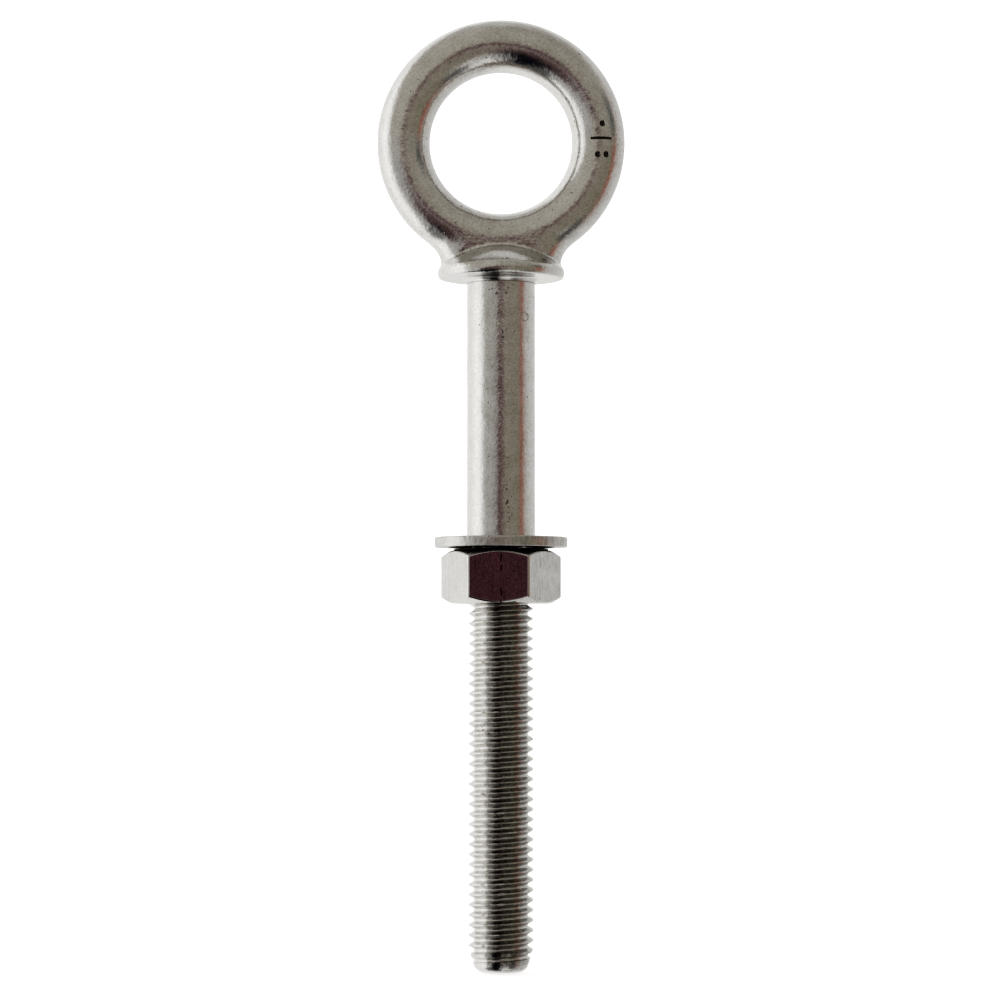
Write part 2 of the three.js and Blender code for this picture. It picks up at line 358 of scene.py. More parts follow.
def threaded_rod(name, low, high, clearance=0.0, worn=False):
    """A right-hand threaded rod that reaches past both heights, as one strip wound round the axis.
    After a turn each row of the strip meets the row one pitch further on."""
    profile = thread_profile(clearance)
    per_tooth = len(profile)
    first = math.floor((low - THREAD_PHASE_Z) / PITCH) - 1
    last = math.ceil((high - THREAD_PHASE_Z) / PITCH) + 1
    rows = (last - first) * per_tooth
    row, segment = np.meshgrid(np.arange(rows), np.arange(THREAD_SEGMENTS), indexing="ij")
    tooth = first + row // per_tooth + segment / THREAD_SEGMENTS
    height, depth = profile[row % per_tooth].transpose(2, 0, 1)
    angle = 2 * math.pi * segment / THREAD_SEGMENTS
    z = THREAD_PHASE_Z + PITCH * tooth + height
    if worn:
        depth = depth * smoothstep(SHANK_END_Z, SHANK_END_Z - THREAD_RUNOUT * PITCH, z)
    radius = THREAD_MAJOR_RADIUS + clearance - depth
    points = np.stack([radius * np.cos(angle), radius * np.sin(angle), z], axis=-1)
    if worn:
        dents = smoothstep(0.45, 0.8, lumps(points, THREAD_DENT_SIZE, SEED + 1)) * THREAD_DENT_DEPTH
        ripple = THREAD_RIPPLE_HEIGHT * (lumps(points, THREAD_RIPPLE_SIZE, SEED + 2) + 1)
        radius = radius - (dents + ripple) * (1 - depth / THREAD_DEPTH)
        points = np.stack([radius * np.cos(angle), radius * np.sin(angle), z], axis=-1)

    index = np.arange(rows * THREAD_SEGMENTS).reshape(rows, THREAD_SEGMENTS)
    wound = np.full((rows, 1), -1)
    wound[: rows - per_tooth, 0] = index[per_tooth:, 0]
    index = np.hstack([index, wound])
    body = index[: rows - per_tooth]
    quads = np.stack([body[:-1, :-1], body[:-1, 1:], body[1:, 1:], body[1:, :-1]], axis=-1).reshape(-1, 4)
    flat_points = points.reshape(-1, 3)
    faces = quads.tolist()
    for edge, up in ((0, False), (rows - per_tooth - 1, True)):
        rim = index[edge].tolist() + index[edge + 1 : edge + per_tooth, 0][::-1].tolist()
        hub = len(flat_points)
        drop = PITCH if up else -PITCH
        flat_points = np.vstack([flat_points, [[0, 0, flat_points[rim, 2].mean() + drop]]])
        pairs = zip(rim, rim[1:] + rim[:1])
        faces += [[a, b, hub] if up else [b, a, hub] for a, b in pairs]
    used = np.unique(np.concatenate([np.ravel(f) for f in faces]))
    renumber = np.full(len(flat_points), -1)
    renumber[used] = np.arange(len(used))
    return make_piece(name, flat_points[used], [[int(renumber[i]) for i in f] for f in faces])


def bolt_thread():
    """The bolt's thread, cut to its length with a tapered and rounded end."""
    rod = threaded_rod("bolt_thread", BOLT_END_Z, SHANK_END_Z, worn=True)
    slant = math.degrees(math.atan2(END_TAPER_START_Z - BOLT_END_Z, THREAD_MAJOR_RADIUS - END_RADIUS))
    inset = END_ROUND * math.tan(math.radians(slant / 2))
    outside = THREAD_MAJOR_RADIUS + 1
    profile = [
        (0.5, BOLT_END_Z),
        *arc(END_RADIUS - inset, BOLT_END_Z + END_ROUND, END_ROUND, -90, slant - 90, 10),
        (THREAD_MAJOR_RADIUS, END_TAPER_START_Z),
        (outside, END_TAPER_START_Z + math.tan(math.radians(slant))),
        (outside, SHANK_END_Z + SHANK_END_CHAMFER),
    ]
    envelope = make_piece("envelope", *loft(turned(profile, 128)))
    return combine(rod, envelope, "INTERSECT")


# The forging --------------------------------------------------------------------------------------

def front_of_eye(x, z):
    """A point on the front of the eye's ring."""
    across = math.hypot(x, z - EYE_CENTRE_Z) - EYE_CENTRE_RADIUS
    return np.array([x, -math.sqrt(EYE_SECTION_RADIUS**2 - across**2), z])


def punch(name, centre, radius, depth):
    """A round-nosed punch that sinks to a depth in the eye's front."""
    place = front_of_eye(*centre)
    rings = []
    for angle in np.radians(np.linspace(-85, 85, 12)):
        turn = np.linspace(0, 2 * math.pi, 24, endpoint=False)
        wide, deep = radius * math.cos(angle), depth - radius - radius * math.sin(angle)
        ring = np.stack([wide * np.cos(turn), np.full(len(turn), deep), wide * np.sin(turn)], -1)
        rings.append(ring + place)
    return make_piece(name, *loft(rings))


def chisel(name, start, end, width, depth):
    """A straight chisel cut across the eye's front, between two (x, z) points."""
    start, end = np.array(start), np.array(end)
    rings = []
    for share in np.linspace(0, 1, 16):
        place = front_of_eye(*(start + (end - start) * share))
        fade = 0.35 + 0.65 * math.sin(math.pi * min(max(share, 0.12), 0.88))
        half = width / 2
        bottom = depth * fade
        side = [(half, -0.6), (half, 0.0), (half * 0.5, bottom)]
        section = [(-up, down) for up, down in side] + side[::-1]
        rings.append([place + [0, down, up] for up, down in section])
    return make_piece(name, *loft(rings))


def size_mark():
    """A plain mark in place of lettering: a short bar with one dot over it and two under it."""
    yield chisel("mark_bar", *MARK_BAR, MARK_BAR_WIDTH, MARK_BAR_DEPTH)
    for place, centre in MARK_DOTS.items():
        yield punch(f"mark_dot_{place}", centre, MARK_DOT_RADIUS, MARK_DOT_DEPTH)


def keep_forged_shading(piece):
    """Shades the forged skin by its field, and leaves thread and marks as their faces lie."""
    mesh = piece.data
    smooth(piece)
    count = len(mesh.loops)
    normals = np.empty(count * 3, np.float32)
    mesh.corner_normals.foreach_get("vector", normals)
    normals = normals.reshape(-1, 3)
    corner_vertex = np.empty(count, np.int64)
    mesh.loops.foreach_get("vertex_index", corner_vertex)
    points = np.empty(len(mesh.vertices) * 3)
    mesh.vertices.foreach_get("co", points)
    points = points.reshape(-1, 3) / MM
    slope = gradient(forging, points)
    slope /= np.linalg.norm(slope, axis=-1, keepdims=True)
    centres = np.empty(len(mesh.polygons) * 3)
    mesh.polygons.foreach_get("center", centres)
    centres = centres.reshape(-1, 3) / MM
    face_normals = np.empty(len(mesh.polygons) * 3, np.float32)
    mesh.polygons.foreach_get("normal", face_normals)
    face_normals = face_normals.reshape(-1, 3)
    centre_slope = gradient(forging, centres)
    centre_slope /= np.linalg.norm(centre_slope, axis=-1, keepdims=True)
    agrees = (centre_slope * face_normals).sum(-1) > SKIN_AGREEMENT
    above_end = centres[:, 2] > SHANK_END_Z + SHANK_END_CHAMFER
    forged = (np.abs(forging(centres)) < SKIN_REACH) & agrees & above_end
    totals = np.empty(len(mesh.polygons), np.int64)
    mesh.polygons.foreach_get("loop_total", totals)
    corner_forged = np.repeat(forged, totals)
    normals[corner_forged] = slope[corner_vertex[corner_forged]]
    mesh.normals_split_custom_set(normals.tolist())


def room_above_shank_end():
    """Everything above the shank's end, which it cuts off square with a small chamfer."""
    beyond = EYE_OUTER_RADIUS + 5
    profile = [
        (0.5, SHANK_END_Z),
        (SHANK_RADIUS - SHANK_END_CHAMFER, SHANK_END_Z),
        (SHANK_RADIUS + 1, SHANK_END_Z + SHANK_END_CHAMFER + 1),
        (beyond, SHANK_END_Z + SHANK_END_CHAMFER + 2),
        (beyond, BOLT_HIGH[2] + 1),
    ]
    return make_piece("room_above", *loft(turned(profile, 128)))


def forged_piece():
    low, high = BOLT_LOW.copy(), BOLT_HIGH.copy()
    low[2] = SHANK_END_Z - SHANK_SPARE
    points, faces = net(forging_blank, low, high, FORGING_CELL)
    piece = make_piece("eye_bolt_forging", onto_surface(forging, points), faces)
    combine(piece, room_above_shank_end(), "INTERSECT")
    combine(piece, bolt_thread(), "UNION")
    for tool in size_mark():
        combine(piece, tool, "DIFFERENCE")
    keep_forged_shading(piece)
    return piece


# The washer and the nut -----------------------------------------------------------------------------

def washer_piece():
    """A blanked washer: rolled over at the top edge, sheared and torn down the rim, burred at the bottom."""
    low, high = WASHER_LOW[2], WASHER_HIGH[2]
    outer = WASHER_HIGH[0]
    rim = np.linspace(low + WASHER_BURR, high - WASHER_ROLL, 9)
    hole_arc_radius = WASHER_HOLE_RADIUS + WASHER_HOLE_ROUND
    profile = [
        (WASHER_HOLE_RADIUS + WASHER_HOLE_BREAK, low),
        (outer - WASHER_BURR, low),
        *[(outer, z) for z in rim],
        *arc(outer - WASHER_ROLL, high - WASHER_ROLL, WASHER_ROLL, 10, 90, 6),
        (WASHER_HOLE_RADIUS + WASHER_FACE_START, high),
        *arc(hole_arc_radius, high - WASHER_HOLE_ROUND, WASHER_HOLE_ROUND, 90, 180, 4),
        (WASHER_HOLE_RADIUS, low + WASHER_HOLE_BREAK),
    ]
    rings = turned(profile, 360)
    radius = np.hypot(rings[..., 0], rings[..., 1])
    streaks = np.stack([rings[..., 0], rings[..., 1], rings[..., 2] * 0.15], -1)
    torn = smoothstep(high - 0.5, low, rings[..., 2])
    sheared = WASHER_SHEAR_DEPTH * (lumps(streaks, WASHER_SHEAR_SIZE, SEED + 3) - 1)
    rough = sheared + WASHER_TEAR_DEPTH * torn * (lumps(rings, WASHER_TEAR_SIZE, SEED + 4) - 1)
    on_rim = smoothstep(outer - 0.4, outer - 0.1, radius)
    scale = (1 + rough * on_rim / radius)[..., None]
    rings = rings * np.concatenate([scale, scale, np.ones_like(scale)], -1)
    piece = make_piece("washer_blanked", *loft(rings, "joined"))
    smooth(piece, 40)
    keep_flats_flat(piece)
    return piece


def hex_outline(flat_steps=8, corner_steps=8):
    """(x, y) points round a hexagon with rounded corners, counter-clockwise."""
    centre = (ACROSS_FLATS / 2 - NUT_CORNER_ROUND) / math.cos(math.pi / 6)
    outline = []
    for corner in range(6):
        middle = NUT_TURNED + corner * math.pi / 3
        x, y = centre * math.cos(middle), centre * math.sin(middle)
        turn = np.linspace(middle - math.pi / 6, middle + math.pi / 6, corner_steps + 1)
        circle = np.stack([np.cos(turn), np.sin(turn)], -1)
        outline.append(circle * NUT_CORNER_ROUND + [x, y])
    rows = []
    for here, after in zip(outline, outline[1:] + outline[:1]):
        rows.append(here)
        rows.append(here[-1] + (after[0] - here[-1]) * np.linspace(0, 1, flat_steps + 1)[1:-1, None])
    return np.concatenate(rows)


def filleted(points, radius, steps=4):
    """A (radius, height) outline with each inner corner rounded."""
    rounded = [points[0]]
    for before, corner, after in zip(points, points[1:], points[2:]):
        before, corner, after = map(np.array, (before, corner, after))
        back, on = before - corner, after - corner
        reach = min(radius, np.linalg.norm(back) * 0.45, np.linalg.norm(on) * 0.45)
        start = corner + back / np.linalg.norm(back) * reach
        end = corner + on / np.linalg.norm(on) * reach
        for t in np.linspace(0, 1, steps + 1):
            rounded.append(tuple((1 - t) ** 2 * start + 2 * t * (1 - t) * corner + t**2 * end))
    return rounded + [points[-1]]


def nut_piece():
    """A chamfered hexagon with a bearing face, drilled, countersunk and tapped."""
    low, high = NUT_LOW[2], NUT_HIGH[2]
    hex_top = high - NUT_BEARING_HEIGHT
    rings = []
    for x, y in hex_outline():
        reach = math.hypot(x, y)
        drop = (reach - NUT_FACE_RADIUS) * math.tan(NUT_CHAMFER)
        profile = filleted([
            (0.5, low),
            (NUT_FACE_RADIUS, low),
            (reach, low + drop),
            (reach, hex_top - drop),
            (NUT_FACE_RADIUS, hex_top),
            (NUT_BEARING_RADIUS, hex_top),
            (NUT_BEARING_RADIUS, high),
            (0.5, high),
        ], NUT_EDGE_ROUND)
        rings.append([(r * x / reach, r * y / reach, z) for r, z in profile])
    piece = make_piece("nut_tapped", *loft(np.array(rings).transpose(1, 0, 2)))
    combine(piece, threaded_rod("tap", low - 1, high + 1, NUT_THREAD_CLEARANCE), "DIFFERENCE")
    bore = THREAD_MAJOR_RADIUS - THREAD_DEPTH - 1
    for face, out in ((low, -1), (high, 1)):
        steps = [(bore, face - out * (NUT_MOUTH_RADIUS - bore)), (NUT_MOUTH_RADIUS + 1, face + out)]
        sink = make_piece("countersink", *loft(turned(sorted(steps, key=lambda p: p[1]), 128)))
        combine(piece, sink, "DIFFERENCE")
    smooth(piece, 30)
    keep_flats_flat(piece)
    return piece


# Materials ----------------------------------------------------------------------------------------

def node(tree, kind, inputs=None, **settings):
    """A shader node with its settings made, and its inputs set or linked."""
    made = tree.nodes.new(kind)
    for name, value in settings.items():
        setattr(made, name, value)
    for key, value in (inputs or {}).items():
        if isinstance(value, bpy.types.NodeSocket):
            tree.links.new(value, made.inputs[key])
        else:
            made.inputs[key].default_value = value
    return made


def maths(tree, operation, *values):
    return node(tree, "ShaderNodeMath", dict(enumerate(values)), operation=operation).outputs[0]


def times(tree, *values):
    """The product of two or more values."""
    product = values[0]
    for value in values[1:]:
        product = maths(tree, "MULTIPLY", product, value)
    return product


def ranged(tree, value, low, high, to_low=0.0, to_high=1.0):
    """A value's smooth step between two levels, onto another range."""
    inputs = {"Value": value, "From Min": low, "From Max": high, "To Min": to_low, "To Max": to_high}
    return node(tree, "ShaderNodeMapRange", inputs, interpolation_type="SMOOTHSTEP").outputs["Result"]


def between(tree, value, low, high, soft):
    """1 between two levels and 0 outside them, with a soft step at each."""
    rise = ranged(tree, value, low - soft / 2, low + soft / 2)
    return times(tree, rise, ranged(tree, value, high - soft / 2, high + soft / 2, 1.0, 0.0))


def ramp(tree, value, stops):
    """A colour that changes along a value, from (position, colour) stops."""
    made = node(tree, "ShaderNodeValToRGB", {"Fac": value})
    elements = made.color_ramp.elements
    while len(elements) < len(stops):
        elements.new(0.5)
    for element, (position, colour) in zip(elements, stops):
        element.position = position
        element.color = (*colour, 1)
    return made.outputs["Color"]


def blended(tree, factor, first, second):
    """A mix of two colours."""
    made = node(tree, "ShaderNodeMix", {"Factor": factor}, data_type="RGBA")
    for key, value in ((6, first), (7, second)):
        if isinstance(value, bpy.types.NodeSocket):
            tree.links.new(value, made.inputs[key])
        else:
            made.inputs[key].default_value = (*value, 1)
    return made.outputs[2]


def noise(tree, place, scale, detail=2.0, rough=0.5):
    inputs = {"Vector": place, "Scale": scale, "Detail": detail, "Roughness": rough}
    return node(tree, "ShaderNodeTexNoise", inputs).outputs["Fac"]


def stretched(tree, place, scale):
    return node(tree, "ShaderNodeVectorMath", {0: place, 1: scale}, operation="MULTIPLY").outputs[0]


def pits(tree, place, scale, share, size):
    """1 inside small round pits, of which only a share of the cells has one."""
    cells = node(tree, "ShaderNodeTexVoronoi", {"Vector": place, "Scale": scale})
    chance = node(tree, "ShaderNodeSeparateColor", {0: cells.outputs["Color"]}).outputs[0]
    chosen = maths(tree, "LESS_THAN", chance, share)
    return times(tree, chosen, ranged(tree, cells.outputs["Distance"], size * 0.3, size, 1.0, 0.0))


def distance(tree, a, b):
    """How long the sides a and b make the long side of a right-angled triangle."""
    return maths(tree, "SQRT", maths(tree, "MULTIPLY_ADD", a, a, times(tree, b, b)))


# A dark dirt colour, also used for painted shade and painted reflections
SOIL_SHADE_AND_REFLECTION = (0.045, 0.040, 0.036)
GRAIN = 2.2  # features per millimetre


class Steel:
    """A bare steel, as a material whose colour and height can be worked on before it is finished."""

    def __init__(self, name, tones, roughness, relief, grain, pitting):
        """The relief is a list of (features per millimetre, stretch, height in millimetres)."""
        self.material = bpy.data.materials.new(name)
        self.material.use_nodes = True
        self.tree = tree = self.material.node_tree
        place = node(tree, "ShaderNodeTexCoord").outputs["Object"]
        place = node(tree, "ShaderNodeVectorMath", {0: place, "Scale": 1 / MM}, operation="SCALE").outputs[0]
        self.place = place
        self.x, self.y, self.z = node(tree, "ShaderNodeSeparateXYZ", {0: place}).outputs
        self.radius = distance(tree, self.x, self.y)

        cloud = noise(tree, place, 0.35, 4, 0.6)
        fine = noise(tree, place, 4.0, 3, 0.6)
        self.colour = ramp(tree, cloud, [(0.35, tones[0]), (0.65, tones[1])])
        self.rough = ranged(tree, fine, 0.3, 0.7, roughness[0], roughness[1])
        self.height = times(tree, fine, 0.0)
        for scale, stretch, height in relief:
            layer = noise(tree, stretched(tree, place, stretch), scale, 3, 0.55)
            self.height = maths(tree, "MULTIPLY_ADD", layer, height, self.height)
        self.stain(ranged(tree, noise(tree, place, GRAIN, 2, 0.7), 0.35, 0.75), SOIL_SHADE_AND_REFLECTION, grain)
        self.sink(pits(tree, place, 0.8, pitting, 0.17), 0.05)

    def stain(self, mask, colour, strength):
        self.colour = blended(self.tree, times(self.tree, mask, strength), self.colour, colour)

    def spot(self, x, z, width, height):
        """1 at a place on the front and 0 from a width or height away from it."""
        tree = self.tree
        aside = times(tree, maths(tree, "SUBTRACT", self.x, x), 1 / width)
        above = times(tree, maths(tree, "SUBTRACT", self.z, z), 1 / height)
        in_front = maths(tree, "LESS_THAN", self.y, 0.0)
        return times(tree, ranged(tree, distance(tree, aside, above), 0.0, 1.0, 1.0, 0.0), in_front)

    def ring_scar(self, x, z, radius):
        """A ring struck into the front, as by another bolt's end."""
        wobble = maths(self.tree, "MULTIPLY_ADD", noise(self.tree, self.place, 1.1, 1), 0.6, -0.3)
        near = maths(self.tree, "ADD", self.spot(x, z, radius * 2, radius * 2), wobble)
        edge = between(self.tree, near, 0.38, 0.62, 0.2)
        worn = ranged(self.tree, noise(self.tree, self.place, 1.4, 1), 0.35, 0.65, 0.2, 1.0)
        self.sink(times(self.tree, edge, worn), 0.03, 0.5)

    def sink(self, mask, depth, darkening=0.75):
        """Lowers the surface where the mask is 1, makes it rougher there and darkens it: dirt in pits, scuffs
        and scars, painted shade at the fillet's end.
        """
        self.height = maths(self.tree, "MULTIPLY_ADD", mask, -depth, self.height)
        self.rough = maths(self.tree, "MULTIPLY_ADD", mask, 0.2, self.rough)
        self.stain(mask, SOIL_SHADE_AND_REFLECTION, darkening)

    def finished(self):
        tree = self.tree
        shader = tree.nodes["Principled BSDF"]
        shader.inputs["Metallic"].default_value = 1.0
        bump = node(tree, "ShaderNodeBump", {"Height": self.height, "Distance": MM, "Strength": 1.0})
        tree.links.new(self.colour, shader.inputs["Base Color"])
        tree.links.new(self.rough, shader.inputs["Roughness"])
        tree.links.new(bump.outputs[0], shader.inputs["Normal"])
        return self.material


# Places on the bolt's front: x, z, and how far they reach sideways and upwards
SCUFFS = ((1.6, -44.0, 1.9, 7.5), (-0.3, -2.8, 4.2, 2.6), (0.4, -12.0, 1.8, 6.0), (-2.2, -16.0, 1.5, 5.0))
RING_SCARS = (
    (4.5, -8.0, 0.75), (-0.4, -9.6, 0.5), (-5.2, -88.3, 0.35), (-3.9, -88.3, 0.5), (-3.4, -115.0, 0.3),
)


def forged_steel():
    """A tumbled forging: mottled, pitted and scuffed, with dirt in its pits and scuffs, painted shade in its
    struck mark and at the fillet's end, darker patches on the thread's flanks and a painted reflection
    darkening the thread's front.
    """
    steel = Steel(
        "steel_forged",
        tones=((0.665, 0.656, 0.638), (0.745, 0.740, 0.730)),
        roughness=(0.14, 0.25),
        relief=[
            (0.30, (1, 1, 1), 0.10),
            (1.0, (1, 1, 0.7), 0.035),
            (2.6, (1, 1, 0.8), 0.016),
            (6.0, (1, 1, 1), 0.006),
        ],
        grain=0.22,
        pitting=0.10,
    )
    tree = steel.tree

    above_thread = ranged(tree, steel.z, SHANK_END_Z - 0.5, SHANK_END_Z + 0.5)
    scuffed = ranged(tree, noise(tree, steel.place, 0.22, 1), 0.35, 0.7, 0.0, 0.4)
    for place in SCUFFS:
        scuffed = maths(tree, "MAXIMUM", scuffed, steel.spot(*place))
    limit = maths(tree, "MULTIPLY_ADD", scuffed, -0.19, 0.74)
    over_limit = maths(tree, "SUBTRACT", noise(tree, steel.place, 1.5, 2, 0.6), limit)
    steel.sink(times(tree, ranged(tree, over_limit, 0.0, 0.04), above_thread), 0.03, 0.65)
    for scar in RING_SCARS:
        steel.ring_scar(*scar)

    # Painted shade: a thin line where the fillet ends on the shank, sunk a little and darkened
    beside_shank = ranged(tree, steel.radius, SHANK_RADIUS + 0.3, SHANK_RADIUS + 0.6, 1.0, 0.0)
    painted_shade_fillet_end = between(tree, steel.z, -SHANK_FILLET - 0.1, -SHANK_FILLET + 0.1, 0.1)
    steel.sink(times(tree, painted_shade_fillet_end, beside_shank), 0.02, 0.4)

    # Painted shade in the struck mark: where its cuts lie more than 0.08 mm under the eye's skin, the steel
    # is darkened
    up = maths(tree, "SUBTRACT", steel.z, EYE_CENTRE_Z)
    from_ring = maths(tree, "SUBTRACT", distance(tree, steel.x, up), EYE_CENTRE_RADIUS)
    under_skin = maths(tree, "SUBTRACT", EYE_SECTION_RADIUS, distance(tree, from_ring, steel.y))
    by_mark = ranged(tree, steel.x, MARK_LEFT_EDGE, MARK_LEFT_EDGE + 0.5)
    steel.stain(times(tree, ranged(tree, under_skin, 0.08, 0.16), by_mark), SOIL_SHADE_AND_REFLECTION, 0.9)

    root = THREAD_MAJOR_RADIUS - THREAD_DEPTH
    flank = between(tree, steel.radius, root + 0.16, THREAD_MAJOR_RADIUS - 0.16, 0.16)
    threaded = between(tree, steel.z, BOLT_END_Z + 0.6, SHANK_END_Z - 0.5, 0.4)
    patches = ranged(tree, noise(tree, steel.place, 1.6, 3, 0.6), 0.35, 0.65, 0.2, 1.0)
    # Painted reflection of the dark shape in front: the thread is darker at its front, most near the middle,
    # half as much to the right and not at all to the left
    in_front = ranged(tree, steel.y, 2.0, 4.0, 1.0, 0.0)
    middle = times(tree, ranged(tree, steel.x, -2.2, -0.4), ranged(tree, steel.x, 0.8, 3.0, 1.0, 0.5))
    painted_front_reflection = times(tree, middle, in_front)
    steel.stain(times(tree, threaded, painted_front_reflection), SOIL_SHADE_AND_REFLECTION, 0.24)
    # Darker patches on the flanks all round, with more painted reflection on them at the front
    steel.stain(times(tree, flank, threaded, patches), SOIL_SHADE_AND_REFLECTION, maths(tree, "MULTIPLY_ADD", painted_front_reflection, 0.36, 0.24))
    return steel.finished()


def washer_steel():
    """Rolled faces with upright scores round the rim, and painted shade under the washer where the nut is
    near.
    """
    steel = Steel(
        "steel_washer",
        tones=((0.55, 0.545, 0.53), (0.70, 0.695, 0.685)),
        roughness=(0.28, 0.42),
        relief=[
            (0.5, (1, 1, 1), 0.05),
            (2.6, (1, 1, 0.12), 0.018),
            (5.0, (1, 1, 1), 0.010),
        ],
        grain=0.15,
        pitting=0.2,
    )
    tree = steel.tree
    scores = noise(tree, stretched(tree, steel.place, (1, 1, 0.15)), 2.2, 3, 0.7)
    steel.stain(ranged(tree, scores, 0.5, 0.7), SOIL_SHADE_AND_REFLECTION, 0.25)
    # Painted shade: the washer's bottom face over the nut is darkened, and made rougher
    over_nut = ranged(tree, steel.radius, NUT_BEARING_RADIUS + 0.5, NUT_BEARING_RADIUS + 1.5, 1.0, 0.0)
    painted_shade_under = ranged(tree, steel.z, WASHER_LOW[2] + 0.05, WASHER_LOW[2] + 0.2, 1.0, 0.0)
    painted_shade_under = times(tree, painted_shade_under, over_nut)
    steel.stain(painted_shade_under, SOIL_SHADE_AND_REFLECTION, 0.9)
    steel.rough = maths(tree, "MULTIPLY_ADD", painted_shade_under, 0.4, steel.rough)
    return steel.finished()


def nut_steel():
    """Milled flats with a fine upright grain, painted shade on the bearing face and a painted reflection of
    one dark line on the front flat.
    """
    steel = Steel(
        "steel_nut",
        tones=((0.62, 0.615, 0.60), (0.69, 0.685, 0.675)),
        roughness=(0.08, 0.16),
        relief=[
            (0.4, (1, 1, 1), 0.003),
            (1.6, (1, 1, 0.12), 0.004),
            (6.0, (1, 1, 1), 0.0025),
        ],
        grain=0.16,
        pitting=0.03,
    )
    tree = steel.tree
    # Painted reflection: one dark, wavy, broken line down the front flat at x = 0
    bend = maths(tree, "MULTIPLY_ADD", noise(tree, steel.place, 0.8, 2), 0.5, -0.25)
    across = maths(tree, "ABSOLUTE", maths(tree, "ADD", steel.x, bend))
    line = ranged(tree, across, 0.05, 0.25, 1.0, 0.0)
    broken = ranged(tree, noise(tree, steel.place, 0.9, 1), 0.42, 0.5)
    scratches = noise(tree, stretched(tree, steel.place, (1, 1, 0.1)), 2.6, 2, 0.7)
    steel.stain(ranged(tree, scratches, 0.5, 0.75), SOIL_SHADE_AND_REFLECTION, 0.3)
    front = maths(tree, "LESS_THAN", steel.y, 0.0)
    steel.stain(times(tree, line, broken, front), SOIL_SHADE_AND_REFLECTION, 0.8)
    # Painted shade: the bearing face and everything above the hex's top is darkened
    painted_shade_top = ranged(tree, steel.z, NUT_HIGH[2] - NUT_BEARING_HEIGHT - 0.1, NUT_HIGH[2] - NUT_BEARING_HEIGHT)
    steel.stain(painted_shade_top, SOIL_SHADE_AND_REFLECTION, 0.9)
    return steel.finished()


# The studio ---------------------------------------------------------------------------------------

# What the picture makes of a brightness in the scene: shade goes nearly black and lights roll off
TONE_CURVE = (
    (0.0, 0.0), (0.03, 0.0035), (0.09, 0.028), (0.213, 0.13), (0.341, 0.27),
    (0.6, 0.53), (0.9, 0.70), (1.25, 0.85), (1.5, 1.0),
)
WORLD_STRENGTH = 2.4
STEEL_MIRRORS = 0.66


def mirrored(*levels):
    """The world's colour that the steel shows as these red, green and blue levels, out of 255."""
    shares = np.array(levels) / 255
    linear = np.where(shares < 0.04, shares / 12.92, ((shares + 0.055) / 1.055) ** 2.4)
    scene, shown = zip(*TONE_CURVE)
    return tuple(np.interp(linear, shown, scene) / STEEL_MIRRORS / WORLD_STRENGTH)


def grey(level):
    """A slightly warm grey as the steel shows it."""
    return mirrored(level, level - 1, level - 3)


# The tent's walls, roof and floor round the bolt, as (degrees of azimuth, colour) from the back by the left
TENT_TONES = (
    (-180, grey(208)), (-165, grey(220)), (-125, grey(219)), (-108, grey(228)), (-92, grey(240)),
    (-73, grey(228)), (-65, grey(192)), (-58, grey(162)), (-50, grey(151)), (-36, grey(152)),
    (-20, grey(140)), (-11, mirrored(114, 105, 101)), (4, mirrored(116, 106, 100)),
    (18, mirrored(113, 106, 95)), (56, mirrored(108, 105, 92)), (66, mirrored(112, 98, 87)),
    (76, mirrored(136, 118, 110)), (86, mirrored(155, 146, 140)), (100, grey(165)),
    (120, grey(178)), (148, grey(184)), (165, grey(200)), (180, grey(208)),
)
ROOF_TONES = (
    (-180, grey(168)), (-110, mirrored(150, 148, 143)), (-90, mirrored(147, 143, 136)),
    (-30, mirrored(151, 147, 139)), (5, mirrored(140, 136, 127)), (60, mirrored(130, 126, 118)),
    (90, mirrored(140, 136, 129)), (120, mirrored(153, 150, 145)), (180, grey(168)),
)
FLOOR_TONES = (
    (-180, grey(165)), (-150, grey(165)), (-128, grey(142)), (-110, grey(112)), (-90, grey(84)),
    (-60, grey(66)), (-12, grey(100)), (5, grey(145)), (30, grey(182)), (50, grey(182)),
    (70, grey(150)), (95, grey(138)), (125, grey(165)), (180, grey(165)),
)


def around(tree, azimuth, stops):
    """A colour that changes along the azimuth, from (degrees, colour) stops."""
    share = maths(tree, "MULTIPLY_ADD", azimuth, 1 / 360, 0.5)
    return ramp(tree, share, [(degrees / 360 + 0.5, colour) for degrees, colour in stops])


